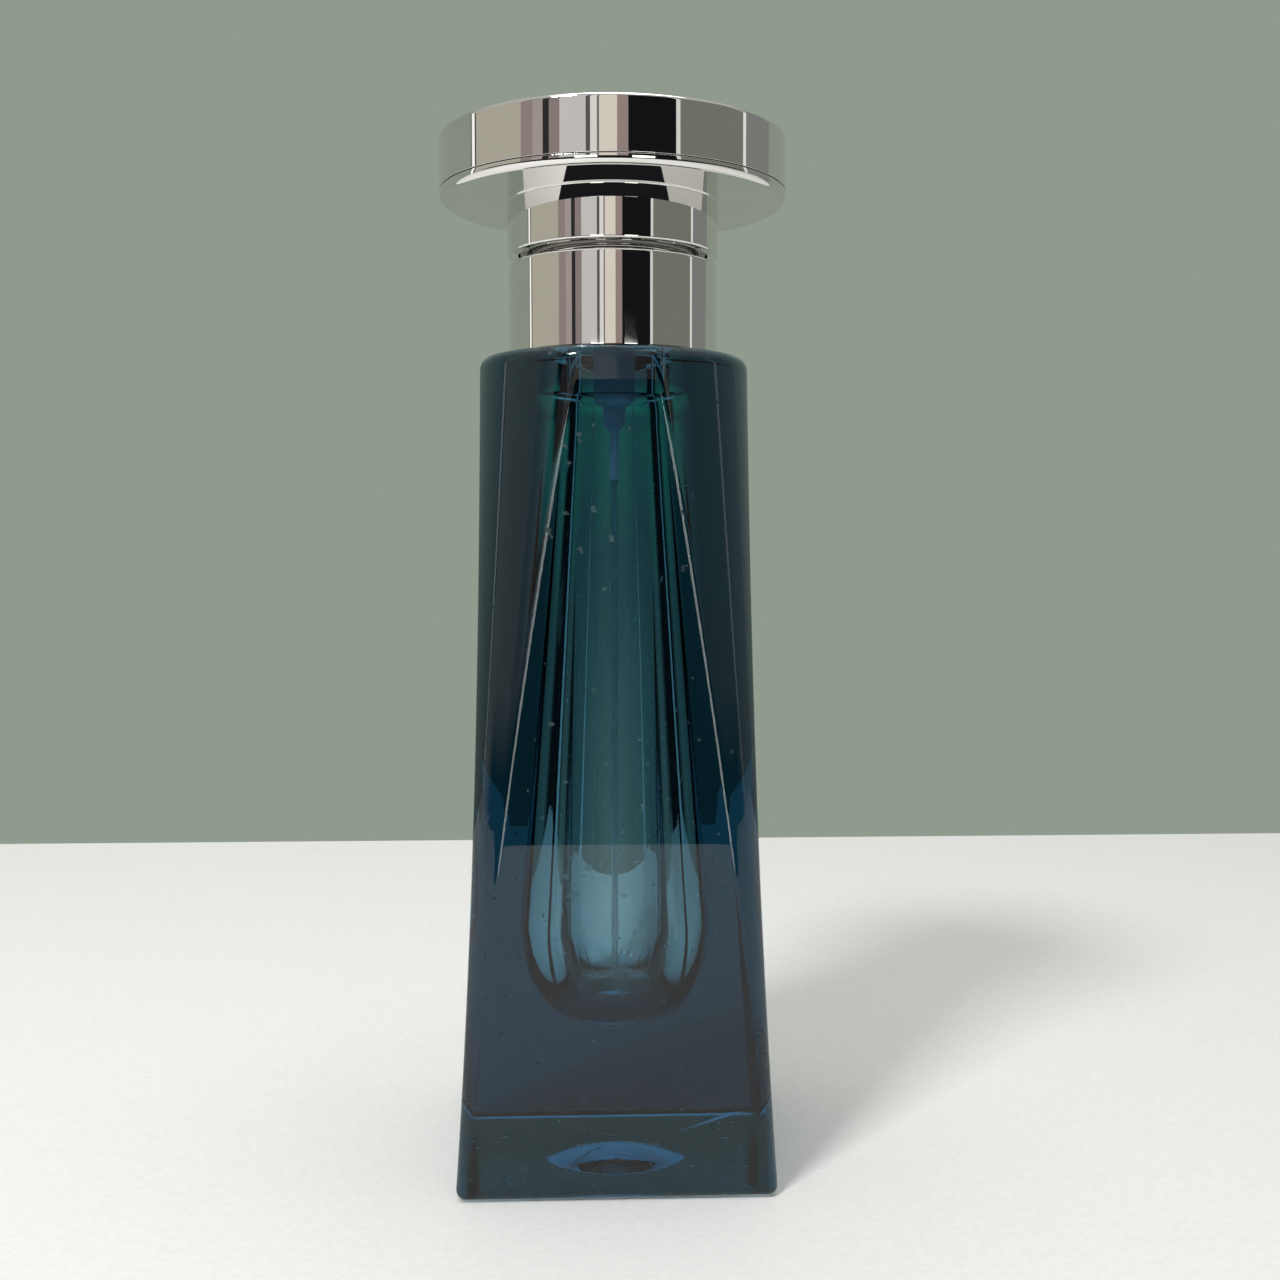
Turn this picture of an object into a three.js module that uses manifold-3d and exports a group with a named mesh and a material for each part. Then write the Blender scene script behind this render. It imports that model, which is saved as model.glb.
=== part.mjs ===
// A fragrance spray bottle: tinted glass body, crimped fine-mist pump, polished collar and
// lift-off disc cap. Millimetres, +Z up, origin at the centre of the base, front facet facing -Y.
import * as THREE from 'three';
import { mergeVertices } from 'three/addons/utils/BufferGeometryUtils.js';
import Module from 'manifold-3d';

const wasm = await Module();
wasm.setup();

// ---------------------------------------------------------------- driving dimensions
const SEGMENTS_OUTER = 48;     // facets round a visible turned piece
const SEGMENTS_INNER = 24;     // facets round a hidden turned piece
const GAP = 0.15;              // clearance between pieces that touch
const FIT_GAP = 0.05;          // clearance of a pressed fit
const SLIDE_GAP = 0.08;        // clearance round the sliding stem

// glass body
const BASE_HALF = 21.8;        // half the width of the square base
const BASE_CORNER_R = 1.5;     // vertical corners at the base
const BASE_EDGE_R = 1.2;       // rounding of the bottom edge
const SHOULDER_Z = 114.0;      // flat top of the shoulder
const FACET_TOP = 18.7;        // distance from the axis to a facet at the shoulder
const FACET_FLARE = 2.5;       // how late a facet bends outwards on its way down
const FACET_HALF_TOP = 4.9;    // half the width of a facet at the shoulder
const FACET_SPREAD = 1.35;     // how soon a facet widens on its way down
const SHOULDER_EDGE_R = 2.0;   // rounding of the shoulder edge
const PUNT_R = 10.0;           // shallow hollow under the base
const PUNT_DEPTH = 1.8;

// hollow of the glass, round and narrower towards the neck
const CAVITY_FLOOR_Z = 19.4;
const CAVITY_LOW_Z = 34.0;     // lower end of the straight walls
const CAVITY_LOW_R = 13.5;
const CAVITY_HIGH_Z = 104.2;   // upper end of the straight walls
const CAVITY_HIGH_R = 7.8;
const CAVITY_TOP_Z = 108.4;
const CAVITY_SHOULDER_R = 0.7;
const BOWL_FULLNESS = 0.62;    // 1 makes the floor a half ellipse, less makes it flatter

// glass neck
const NECK_BORE_R = 7.0;
const NECK_R = 8.9;
const NECK_BEAD_R = 9.9;
const NECK_BEAD_Z = 118.8;
const NECK_TOP_Z = 122.0;

// pump
const FLANGE_R = 9.7;
const FLANGE_T = 1.0;
const GASKET_T = 0.8;
const GASKET_BORE_R = 6.0;
const HOUSING_R = 4.3;
const HOUSING_BORE_R = 3.3;
const CHAMBER_R = 2.4;         // ball chamber under the main bore
const CHAMBER_BORE_R = 1.45;
const NOSE_R = 1.0;            // socket that holds the dip tube
const NOSE_LOW_Z = 97.0;
const CHAMBER_LOW_Z = 104.8;
const BORE_FLOOR_Z = 108.9;
const TUBE_R = 0.72;
const TUBE_BORE_R = 0.45;
const TUBE_TOP_Z = 101.6;
const TUBE_LOW_Z = 21.2;
const STEM_R = 1.55;
const STEM_BORE_R = 0.6;
const STEM_LOW_Z = 118.2;
const STEM_TOP_Z = 133.2;
const PISTON_R = 3.2;
const PISTON_LOW_Z = 117.2;
const PISTON_TOP_Z = 120.4;
const SEAL_T = 0.7;
const BALL_R = 1.15;
const SPRING_WIRE_R = 0.24;
const SPRING_COIL_R = 2.6;
const SPRING_TURNS = 6;
const FERRULE_WALL = 0.4;

// collar and cap
const COLLAR_R = 14.85;
const COLLAR_TOP_Z = 127.1;
const COLLAR_WALL = 1.2;
const BOSS_R = 11.6;           // the cap grips this step above the collar
const BOSS_TOP_Z = 131.0;
const BUTTON_R = 7.0;
const BUTTON_LOW_Z = 130.0;
const BUTTON_TOP_Z = 140.4;
const NOZZLE_Z = 136.2;
const SLEEVE_R = 15.0;
const SLEEVE_LOW_Z = 128.3;
const DISC_R = 24.5;
const DISC_LOW_Z = 135.6;
const DISC_TOP_Z = 144.4;
const DISC_WALL = 1.6;
const DISC_EDGE_R = 0.9;       // rounding under the rim
const DISC_SEAM_Z = 136.9;     // joint between the top shell and the underside

// ---------------------------------------------------------------- materials
const surface = (color, roughness, metalness, opacity = 1) =>
  new THREE.MeshStandardMaterial({ color, roughness, metalness, opacity, transparent: opacity < 1 });
const looks = {
  tintedGlass: surface(0x2c4c62, 0.04, 0.0, 0.45),
  chrome: surface(0xd5d3d0, 0.05, 1.0),
  silver: surface(0xc9c9cb, 0.12, 1.0),
  aluminium: surface(0xc4c6c8, 0.3, 1.0),
  steel: surface(0xa8abb0, 0.25, 1.0),
  whitePlastic: surface(0xe8e8e4, 0.45, 0.0),
  clearPlastic: surface(0xdfe6e6, 0.3, 0.0, 0.6),
  greyRubber: surface(0x6d7073, 0.8, 0.0),
};

// ---------------------------------------------------------------- helpers
/** Keeps only positions, welds the vertices and drops collapsed triangles. */
function weld(geometry) {
  const bare = new THREE.BufferGeometry();
  const source = geometry.index ? geometry.toNonIndexed() : geometry;
  bare.setAttribute('position', source.getAttribute('position').clone());
  const merged = mergeVertices(bare, 1e-4);
  const index = merged.index.array;
  const kept = [];
  for (let i = 0; i < index.length; i += 3) {
    const [a, b, c] = [index[i], index[i + 1], index[i + 2]];
    if (a !== b && b !== c && c !== a) kept.push(a, b, c);
  }
  merged.setIndex(kept);
  return merged;
}

function signedVolume(geometry) {
  const p = geometry.getAttribute('position');
  const index = geometry.index.array;
  const [a, b, c] = [new THREE.Vector3(), new THREE.Vector3(), new THREE.Vector3()];
  let sum = 0;
  for (let i = 0; i < index.length; i += 3) {
    a.fromBufferAttribute(p, index[i]);
    b.fromBufferAttribute(p, index[i + 1]);
    c.fromBufferAttribute(p, index[i + 2]);
    sum += a.dot(b.cross(c)) / 6;
  }
  return sum;
}

/** A closed geometry as a manifold solid, with its faces pointing out. */
function solid(geometry) {
  const closed = weld(geometry);
  if (signedVolume(closed) < 0) closed.index.array.reverse();
  const mesh = new wasm.Mesh({
    numProp: 3,
    vertProperties: new Float32Array(closed.getAttribute('position').array),
    triVerts: new Uint32Array(closed.index.array),
  });
  return new wasm.Manifold(mesh);
}

function geometryOf(manifold) {
  const { vertProperties, triVerts } = manifold.getMesh();
  const geometry = new THREE.BufferGeometry();
  geometry.setAttribute('position', new THREE.BufferAttribute(vertProperties, 3));
  geometry.setIndex(new THREE.BufferAttribute(triVerts, 1));
  return geometry;
}

/** Turns a closed [radius, height] profile about +Z. */
function turned(profile, segments = SEGMENTS_INNER) {
  const points = profile.map(([r, z]) => new THREE.Vector2(r, z));
  const onAxis = profile[0][0] === 0 && profile.at(-1)[0] === 0;
  if (!onAxis) points.push(points[0].clone());
  return solid(new THREE.LatheGeometry(points, segments).rotateX(Math.PI / 2));
}

/** Points on a quarter-round from one angle to another, in degrees, about [r, z]. */
function arc([r, z], radius, from, to, steps = 4) {
  return Array.from({ length: steps + 1 }, (_, i) => {
    const angle = THREE.MathUtils.degToRad(from + ((to - from) * i) / steps);
    return [r + radius * Math.cos(angle), z + radius * Math.sin(angle)];
  });
}

function box(width, depth, height, x, y, z) {
  return solid(new THREE.BoxGeometry(width, depth, height).translate(x, y, z));
}

/** A rod along -Y that starts at y = near. */
function frontRod(radius, length, near, z, segments = SEGMENTS_INNER) {
  const rod = new THREE.CylinderGeometry(radius, radius, length, segments);
  return solid(rod.translate(0, near - length / 2, z));
}

/** Copies of a solid spaced evenly round the axis. */
function around(count, make) {
  return Array.from({ length: count }, (_, i) => make().rotate([0, 0, (360 * i) / count]));
}

const unite = (first, others) => others.reduce((sum, other) => sum.add(other), first);

const group = new THREE.Group();

function addPart(name, manifold, material) {
  const mesh = new THREE.Mesh(geometryOf(manifold), material);
  mesh.name = name;
  group.add(mesh);
}

// ---------------------------------------------------------------- glass bottle
/**
 * One level of a section that has four flats and four round corners. Each corner is an arc about
 * (centre, centre), cut where it meets the flats at distance flat from the axis.
 */
function sectionPoints(centre, radius, flat, z, steps = 7) {
  const start = Math.acos(Math.min(1, (flat - centre) / radius));
  const end = Math.PI / 2 - start;
  const points = [];
  for (let corner = 0; corner < 4; corner += 1) {
    for (let i = 0; i <= steps; i += 1) {
      const angle = start + ((end - start) * i) / steps;
      const point = new THREE.Vector3(
        centre + radius * Math.cos(angle), centre + radius * Math.sin(angle), z);
      points.push(point.applyAxisAngle(new THREE.Vector3(0, 0, 1), (corner * Math.PI) / 2));
    }
  }
  return points;
}

/** A level of the glass body, drawn in by the given amount. */
function bodyLevel(z, inset = 0) {
  const t = z / SHOULDER_Z;
  const flat = FACET_TOP + (BASE_HALF - FACET_TOP) * (1 - t) ** FACET_FLARE;
  const widest = BASE_HALF - BASE_CORNER_R;
  const half = FACET_HALF_TOP + (widest - FACET_HALF_TOP) * (1 - t ** FACET_SPREAD);
  const centre = (1 - t) * widest;
  const radius = Math.hypot(flat - centre, half - centre);
  return sectionPoints(centre, radius - inset, flat - inset, z);
}

/** A closed solid through rings of equal length, with a flat end on the first and the last. */
function lofted(rings) {
  const count = rings[0].length;
  const points = rings.flat();
  const last = points.length - count;
  const index = [];
  for (let ring = 0; ring < last; ring += count) {
    for (let i = 0; i < count; i += 1) {
      const next = (i + 1) % count;
      index.push(ring + i, ring + next, ring + count + next);
      index.push(ring + i, ring + count + next, ring + count + i);
    }
  }
  for (let i = 1; i < count - 1; i += 1) {
    index.push(0, i + 1, i);
    index.push(last, last + i, last + i + 1);
  }
  const geometry = new THREE.BufferGeometry().setFromPoints(points);
  geometry.setIndex(index);
  return solid(geometry);
}

function outerGlass() {
  const rings = [];
  for (const [inset, dz] of arc([0, 0], BASE_EDGE_R, 270, 180, 3)) {
    rings.push(bodyLevel(BASE_EDGE_R + dz, BASE_EDGE_R + inset));
  }
  for (const z of [6, 14, 24, 36, 50, 66, 84, 100]) {
    rings.push(bodyLevel(z));
  }
  for (const [inset, dz] of arc([0, 0], SHOULDER_EDGE_R, 0, 90, 4)) {
    rings.push(bodyLevel(SHOULDER_Z - SHOULDER_EDGE_R + dz, SHOULDER_EDGE_R - inset));
  }
  return lofted(rings);
}

function cavity() {
  const bowlDepth = CAVITY_LOW_Z - CAVITY_FLOOR_Z;
  const bowl = [84, 75, 60, 42, 22, 0].map((turn) => {
    const angle = THREE.MathUtils.degToRad(turn);
    return [CAVITY_LOW_R * Math.cos(angle) ** BOWL_FULLNESS, CAVITY_LOW_Z - bowlDepth * Math.sin(angle)];
  });
  const slope = (CAVITY_TOP_Z - CAVITY_HIGH_Z) / CAVITY_SHOULDER_R;
  const shoulder = arc([0, 0], CAVITY_SHOULDER_R, 0, 90, 4).map(([reach, rise]) =>
    [CAVITY_HIGH_R - CAVITY_SHOULDER_R + reach, CAVITY_HIGH_Z + rise * slope]);
  return turned([[0, CAVITY_FLOOR_Z], ...bowl, ...shoulder, [0, CAVITY_TOP_Z]], SEGMENTS_OUTER);
}

function neck() {
  return turned([
    [NECK_BORE_R - 0.5, SHOULDER_Z - 1],
    [NECK_R, SHOULDER_Z - 1],
    [NECK_R, NECK_BEAD_Z - 0.9],
    [NECK_BEAD_R, NECK_BEAD_Z],
    [NECK_BEAD_R, NECK_TOP_Z - 0.5],
    [NECK_BEAD_R - 0.5, NECK_TOP_Z],
    [NECK_BORE_R - 0.5, NECK_TOP_Z],
  ], 32);
}

function neckBore() {
  return turned([
    [0, CAVITY_TOP_Z - 1],
    [NECK_BORE_R + 0.5, CAVITY_TOP_Z - 1],
    [NECK_BORE_R, CAVITY_TOP_Z + 1],
    [NECK_BORE_R, NECK_TOP_Z + 1],
    [0, NECK_TOP_Z + 1],
  ], 32);
}

function punt() {
  const sphereR = (PUNT_R ** 2 + PUNT_DEPTH ** 2) / (2 * PUNT_DEPTH);
  const half = THREE.MathUtils.radToDeg(Math.asin(PUNT_R / sphereR));
  const cap = arc([0, PUNT_DEPTH - sphereR], sphereR, 90 - half, 90, 5);
  cap[cap.length - 1][0] = 0;
  return turned([[0, -1], [PUNT_R, -1], ...cap], 32);
}

const glass = outerGlass().add(neck()).subtract(cavity()).subtract(neckBore()).subtract(punt());
addPart('glass_bottle', glass, looks.tintedGlass);

// ---------------------------------------------------------------- pump
const gasketLow = NECK_TOP_Z + GAP;
const flangeLow = gasketLow + GASKET_T + GAP;
const flangeTop = flangeLow + FLANGE_T;
const ferruleTop = flangeTop + GAP + FERRULE_WALL;

addPart('neck_gasket', turned([
  [GASKET_BORE_R, gasketLow],
  [FLANGE_R, gasketLow],
  [FLANGE_R, gasketLow + GASKET_T],
  [GASKET_BORE_R, gasketLow + GASKET_T],
]), looks.greyRubber);

addPart('pump_housing', turned([
  [NOSE_R, NOSE_LOW_Z],
  [NOSE_R, CHAMBER_LOW_Z - 0.8],
  [CHAMBER_R, CHAMBER_LOW_Z],
  [CHAMBER_R, BORE_FLOOR_Z - 1.6],
  [HOUSING_R - 0.5, BORE_FLOOR_Z - 1.1],
  [HOUSING_R, BORE_FLOOR_Z - 0.6],
  [HOUSING_R, flangeLow],
  [FLANGE_R, flangeLow],
  [FLANGE_R, flangeTop],
  [HOUSING_BORE_R, flangeTop],
  [HOUSING_BORE_R, BORE_FLOOR_Z],
  [CHAMBER_BORE_R, BORE_FLOOR_Z],
  [CHAMBER_BORE_R, CHAMBER_LOW_Z + 1.6],
  [TUBE_BORE_R, CHAMBER_LOW_Z + 0.6],
  [TUBE_BORE_R, TUBE_TOP_Z + GAP],
  [TUBE_R + FIT_GAP, TUBE_TOP_Z + GAP],
  [TUBE_R + FIT_GAP, NOSE_LOW_Z],
]), looks.clearPlastic);

addPart('dip_tube', turned([
  [TUBE_BORE_R, TUBE_LOW_Z], [TUBE_R, TUBE_LOW_Z], [TUBE_R, TUBE_TOP_Z], [TUBE_BORE_R, TUBE_TOP_Z],
], 16), looks.clearPlastic);

// The ball rests on the cone between the chamber and the tube bore.
const coneSlope = Math.atan2(1, CHAMBER_BORE_R - TUBE_BORE_R);
const ballZ = CHAMBER_LOW_Z + 0.6 + (BALL_R + 0.06) / Math.cos(coneSlope) - TUBE_BORE_R * Math.tan(coneSlope);
addPart('inlet_ball', solid(new THREE.SphereGeometry(BALL_R, 16, 10).translate(0, 0, ballZ)), looks.steel);

const sealLow = PISTON_TOP_Z + GAP + FIT_GAP;
const sealTop = sealLow + SEAL_T;
const glandLow = sealTop + GAP;

/** Two flared lips that wipe the bore, joined by a waist. */
addPart('pump_piston', turned([
  [STEM_R + FIT_GAP, STEM_LOW_Z + 0.3],
  [STEM_R + FIT_GAP, PISTON_TOP_Z],
  [PISTON_R - 0.4, PISTON_TOP_Z],
  [PISTON_R, PISTON_TOP_Z - 0.3],
  [PISTON_R, PISTON_TOP_Z - 0.7],
  [PISTON_R - 0.6, PISTON_TOP_Z - 1.3],
  [PISTON_R - 0.6, PISTON_LOW_Z + 1.0],
  [PISTON_R, PISTON_LOW_Z + 0.4],
  [PISTON_R, PISTON_LOW_Z],
  [STEM_BORE_R, PISTON_LOW_Z],
  [STEM_BORE_R, STEM_LOW_Z - 0.2],
  [STEM_R + FIT_GAP, STEM_LOW_Z - 0.2],
]), looks.whitePlastic);

const stemTube = turned([
  [STEM_BORE_R, STEM_LOW_Z], [STEM_R, STEM_LOW_Z], [STEM_R, STEM_TOP_Z - 0.3], [STEM_R - 0.3, STEM_TOP_Z],
  [STEM_BORE_R, STEM_TOP_Z],
]);
addPart('pump_stem', stemTube, looks.whitePlastic);

addPart('stem_seal', turned([
  [STEM_R + SLIDE_GAP, sealLow], [HOUSING_BORE_R - SLIDE_GAP, sealLow], [HOUSING_BORE_R - SLIDE_GAP, sealTop],
  [STEM_R + SLIDE_GAP, sealTop],
]), looks.greyRubber);

addPart('stem_gland', turned([
  [STEM_R + SLIDE_GAP, glandLow],
  [HOUSING_BORE_R - SLIDE_GAP, glandLow],
  [HOUSING_BORE_R - SLIDE_GAP, flangeTop + GAP],
  [HOUSING_BORE_R - SLIDE_GAP, ferruleTop],
  [HOUSING_BORE_R - 0.6, ferruleTop + 0.6],
  [STEM_R + SLIDE_GAP, ferruleTop + 0.6],
]), looks.whitePlastic);

class Helix extends THREE.Curve {
  constructor(radius, low, high, turns) {
    super();
    Object.assign(this, { radius, low, high, turns });
  }

  // The end coils lie nearly flat, so the height eases in and out.
  getPoint(t, target = new THREE.Vector3()) {
    const angle = 2 * Math.PI * this.turns * t;
    const rise = THREE.MathUtils.lerp(t, THREE.MathUtils.smoothstep(t, 0, 1), 0.55);
    return target.set(
      this.radius * Math.cos(angle),
      this.radius * Math.sin(angle),
      THREE.MathUtils.lerp(this.low, this.high, rise),
    );
  }
}

function spring() {
  const low = BORE_FLOOR_Z + SPRING_WIRE_R + GAP;
  const high = PISTON_LOW_Z - SPRING_WIRE_R - GAP;
  const path = new Helix(SPRING_COIL_R, low, high, SPRING_TURNS);
  const wire = new THREE.Shape().absarc(0, 0, SPRING_WIRE_R, 0, 2 * Math.PI);
  const settings = { extrudePath: path, steps: SPRING_TURNS * 12, curveSegments: 3, bevelEnabled: false };
  return solid(new THREE.ExtrudeGeometry(wire, settings));
}
addPart('return_spring', spring(), looks.steel);

const ferruleInner = NECK_BEAD_R + GAP;
const ferruleOuter = ferruleInner + FERRULE_WALL;
addPart('crimp_ferrule', turned([
  [NECK_R + GAP, NECK_BEAD_Z - 1.5],
  [NECK_R + GAP + FERRULE_WALL, NECK_BEAD_Z - 1.7],
  [ferruleOuter, NECK_BEAD_Z - 0.6],
  [ferruleOuter, ferruleTop - 0.5],
  [ferruleOuter - 0.5, ferruleTop],
  [HOUSING_BORE_R + GAP, ferruleTop],
  [HOUSING_BORE_R + GAP, flangeTop + GAP],
  [ferruleInner - 0.1, flangeTop + GAP],
  [ferruleInner, flangeTop],
  [ferruleInner, NECK_BEAD_Z - 0.4],
], 32), looks.aluminium);

// ---------------------------------------------------------------- collar
const collarLow = SHOULDER_Z + 0.25;
const collarInner = COLLAR_R - COLLAR_WALL;
addPart('collar_shell', turned([
  [collarInner, collarLow],
  [COLLAR_R - 0.3, collarLow],
  [COLLAR_R, collarLow + 0.3],
  ...arc([COLLAR_R - 0.45, COLLAR_TOP_Z - 0.45], 0.45, 0, 90, 3),
  [BOSS_R + 0.35, COLLAR_TOP_Z],
  [BOSS_R, COLLAR_TOP_Z + 0.35],
  [BOSS_R, BOSS_TOP_Z - 0.4],
  [BOSS_R - 0.4, BOSS_TOP_Z],
  [BOSS_R - 1.0, BOSS_TOP_Z],
  [BOSS_R - 1.0, COLLAR_TOP_Z - 1.1],
  [collarInner, COLLAR_TOP_Z - 1.1],
], SEGMENTS_OUTER), looks.chrome);

function collarInsert() {
  const outer = collarInner - GAP;
  const inner = ferruleOuter + GAP;
  const top = COLLAR_TOP_Z - 1.1 - GAP;
  const ring = turned([
    [inner, NECK_BEAD_Z - 3.2],
    [inner + 0.9, NECK_BEAD_Z - 3.2],
    [inner + 0.9, top - 1.2],
    [outer - 0.9, top - 1.2],
    [outer - 0.9, collarLow + 0.3],
    [outer, collarLow + 0.3],
    [outer, top],
    [inner, top],
  ], 32);
  const bridge = outer - inner - 1.0;
  const rib = () => box(bridge, 0.8, 7, inner + 0.5 + bridge / 2, 0, top - 4);
  return unite(ring, around(8, rib));
}
addPart('collar_insert', collarInsert(), looks.whitePlastic);

// ---------------------------------------------------------------- spray button
const coreR = BUTTON_R - 0.55;
const insertR = 1.9;
const insertDepth = 2.2;

/** The button: a round block cut by its skirt hollow, stem socket, nozzle pocket and duct. */
function actuatorCore() {
  const outer = turned([
    [0, BUTTON_LOW_Z + 0.3], [coreR, BUTTON_LOW_Z + 0.3], [coreR, BUTTON_TOP_Z - 0.7], [0, BUTTON_TOP_Z - 0.7],
  ]);
  const skirtHollow = turned([
    [STEM_R + 1.3, BUTTON_LOW_Z - 1], [coreR - 1.2, BUTTON_LOW_Z - 1],
    [coreR - 1.2, BUTTON_LOW_Z + 3.0], [STEM_R + 1.3, BUTTON_LOW_Z + 3.0],
  ]);
  const socket = turned([
    [0, BUTTON_LOW_Z - 1], [STEM_R + FIT_GAP, BUTTON_LOW_Z - 1], [STEM_R + FIT_GAP, STEM_TOP_Z + 0.1],
    [STEM_BORE_R, STEM_TOP_Z + 0.1], [STEM_BORE_R, NOZZLE_Z + 0.6], [0, NOZZLE_Z + 0.6],
  ]);
  const pocket = frontRod(insertR + FIT_GAP, insertDepth + 1.2, -(coreR - insertDepth), NOZZLE_Z);
  const duct = frontRod(STEM_BORE_R, coreR, 0, NOZZLE_Z, 12);
  return [skirtHollow, socket, pocket, duct].reduce((left, cut) => left.subtract(cut), outer);
}
addPart('actuator_core', actuatorCore(), looks.whitePlastic);

function sprayInsert() {
  const cup = frontRod(insertR, insertDepth - 0.2, -(coreR - insertDepth) - 0.1, NOZZLE_Z);
  const mouth = frontRod(0.22, insertDepth + 2, -(coreR - insertDepth) + 1, NOZZLE_Z, 12);
  const swirl = frontRod(0.7, insertDepth, -(coreR - insertDepth) + 1.1, NOZZLE_Z, 12);
  return cup.subtract(mouth).subtract(swirl);
}
addPart('spray_insert', sprayInsert(), looks.whitePlastic);

function actuatorCover() {
  const skin = turned([
    [BUTTON_R - 0.45, BUTTON_LOW_Z],
    [BUTTON_R, BUTTON_LOW_Z],
    ...arc([BUTTON_R - 0.8, BUTTON_TOP_Z - 0.8], 0.8, 0, 90, 3),
    [0, BUTTON_TOP_Z],
    [0, BUTTON_TOP_Z - 0.55],
    [BUTTON_R - 0.45, BUTTON_TOP_Z - 0.55],
  ], 36);
  const window = frontRod(insertR + 0.5, 4, -(coreR - 1), NOZZLE_Z);
  return skin.subtract(window);
}
addPart('actuator_cover', actuatorCover(), looks.silver);

// ---------------------------------------------------------------- cap
const linerOuter = SLEEVE_R - 1.6 - GAP;
const linerInner = BOSS_R + GAP;
const linerTop = DISC_TOP_Z - DISC_WALL - GAP - 0.6;

addPart('cap_base_sleeve', turned([
  [linerOuter + GAP, SLEEVE_LOW_Z + 0.3],
  [linerOuter + GAP + 0.3, SLEEVE_LOW_Z],
  ...arc([SLEEVE_R - 0.35, SLEEVE_LOW_Z + 0.35], 0.35, 270, 360, 2),
  [SLEEVE_R, DISC_LOW_Z],
  ...arc([DISC_R - DISC_EDGE_R, DISC_LOW_Z + DISC_EDGE_R], DISC_EDGE_R, 270, 360, 3),
  [DISC_R, DISC_SEAM_Z - 0.1],
  [DISC_R - DISC_WALL - GAP, DISC_SEAM_Z - 0.1],
  [DISC_R - DISC_WALL - GAP, DISC_SEAM_Z + 1.5],
  [DISC_R - DISC_WALL - 1.0, DISC_SEAM_Z + 1.5],
  [DISC_R - DISC_WALL - 1.0, DISC_LOW_Z + 1.5],
  [linerOuter + GAP, DISC_LOW_Z + 1.5],
], SEGMENTS_OUTER), looks.chrome);

addPart('cap_top_shell', turned([
  [DISC_R - DISC_WALL, DISC_SEAM_Z + 0.1],
  [DISC_R, DISC_SEAM_Z + 0.1],
  ...arc([DISC_R - 0.6, DISC_TOP_Z - 0.6], 0.6, 0, 90, 3),
  [0, DISC_TOP_Z],
  [0, DISC_TOP_Z - DISC_WALL],
  [DISC_R - DISC_WALL, DISC_TOP_Z - DISC_WALL],
], SEGMENTS_OUTER), looks.chrome);

const weightLow = DISC_LOW_Z + 1.5 + GAP;
const weightTop = DISC_TOP_Z - DISC_WALL - GAP;
addPart('cap_weight_ring', turned([
  [linerOuter + 1.2, weightLow], [DISC_R - DISC_WALL - 1.3, weightLow],
  [DISC_R - DISC_WALL - 1.3, weightTop], [linerOuter + 1.2, weightTop],
], 32), looks.steel);

function capLiner() {
  const wallTop = linerTop;
  const cup = turned([
    [0, wallTop],
    [0, wallTop - 1.0],
    [linerInner + 0.4, wallTop - 1.0],
    [linerInner + 0.4, SLEEVE_LOW_Z + 0.6],
    [linerOuter, SLEEVE_LOW_Z + 0.3],
    [linerOuter, wallTop],
  ], SEGMENTS_OUTER);
  const rib = () => box(0.5, 0.9, 9, linerInner + 0.3, 0, SLEEVE_LOW_Z + 5.6);
  return unite(cup, around(8, rib));
}
addPart('cap_liner', capLiner(), looks.whitePlastic);

export default group;
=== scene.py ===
"""The looks of a fragrance spray bottle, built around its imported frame.

Everything is in the frame's own axes: +Z up, the base centred on the origin, the front facet facing -Y.
Profiles are written in millimetres and turned into metres by the constant MM.
"""

import math

import bmesh
import bpy
import numpy as np
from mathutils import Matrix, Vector


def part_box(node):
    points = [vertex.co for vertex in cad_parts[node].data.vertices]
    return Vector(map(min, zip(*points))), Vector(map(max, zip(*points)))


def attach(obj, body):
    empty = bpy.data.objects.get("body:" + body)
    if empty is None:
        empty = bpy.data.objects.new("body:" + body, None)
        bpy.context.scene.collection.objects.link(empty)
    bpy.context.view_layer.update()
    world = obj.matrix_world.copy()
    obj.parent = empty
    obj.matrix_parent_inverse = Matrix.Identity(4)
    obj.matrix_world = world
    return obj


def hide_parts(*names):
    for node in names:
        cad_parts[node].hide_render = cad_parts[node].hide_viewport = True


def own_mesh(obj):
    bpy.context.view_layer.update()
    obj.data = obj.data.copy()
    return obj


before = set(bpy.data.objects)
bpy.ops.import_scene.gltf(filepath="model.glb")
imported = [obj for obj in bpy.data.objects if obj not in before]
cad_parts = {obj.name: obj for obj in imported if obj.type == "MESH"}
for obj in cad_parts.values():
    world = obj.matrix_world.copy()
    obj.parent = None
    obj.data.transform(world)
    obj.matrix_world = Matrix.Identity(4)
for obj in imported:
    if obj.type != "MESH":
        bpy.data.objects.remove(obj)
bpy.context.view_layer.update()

MM = 0.001

# ---------------------------------------------------------------- sizes, in millimetres


def edge(node, corner, axis):
    """One side of a node's box, in millimetres. corner is 0 for the low side and 1 for the high side."""
    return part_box(node)[corner][axis] / MM


NECK_TOP = edge("glass_bottle", 1, 2)
COLLAR_LOW, BOSS_TOP = edge("collar_shell", 0, 2), edge("collar_shell", 1, 2)
COLLAR_R = edge("collar_shell", 1, 0)
CAP_R = edge("cap_top_shell", 1, 0)
CAP_TOP, CAP_SEAM = edge("cap_top_shell", 1, 2), edge("cap_top_shell", 0, 2)
DISC_HEIGHT = 8.8
CAP_LOW = CAP_TOP - DISC_HEIGHT   # underside of the disc
SLEEVE_LOW = edge("cap_base_sleeve", 0, 2)
SLEEVE_R, SLEEVE_WALL = 15.0, 1.6
BUTTON_R = edge("actuator_cover", 1, 0)
BUTTON_LOW, BUTTON_TOP = edge("actuator_cover", 0, 2), edge("actuator_cover", 1, 2)
NOZZLE_Z = 136.2
TUBE_LOW, TUBE_TOP = edge("dip_tube", 0, 2), edge("dip_tube", 1, 2)
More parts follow.
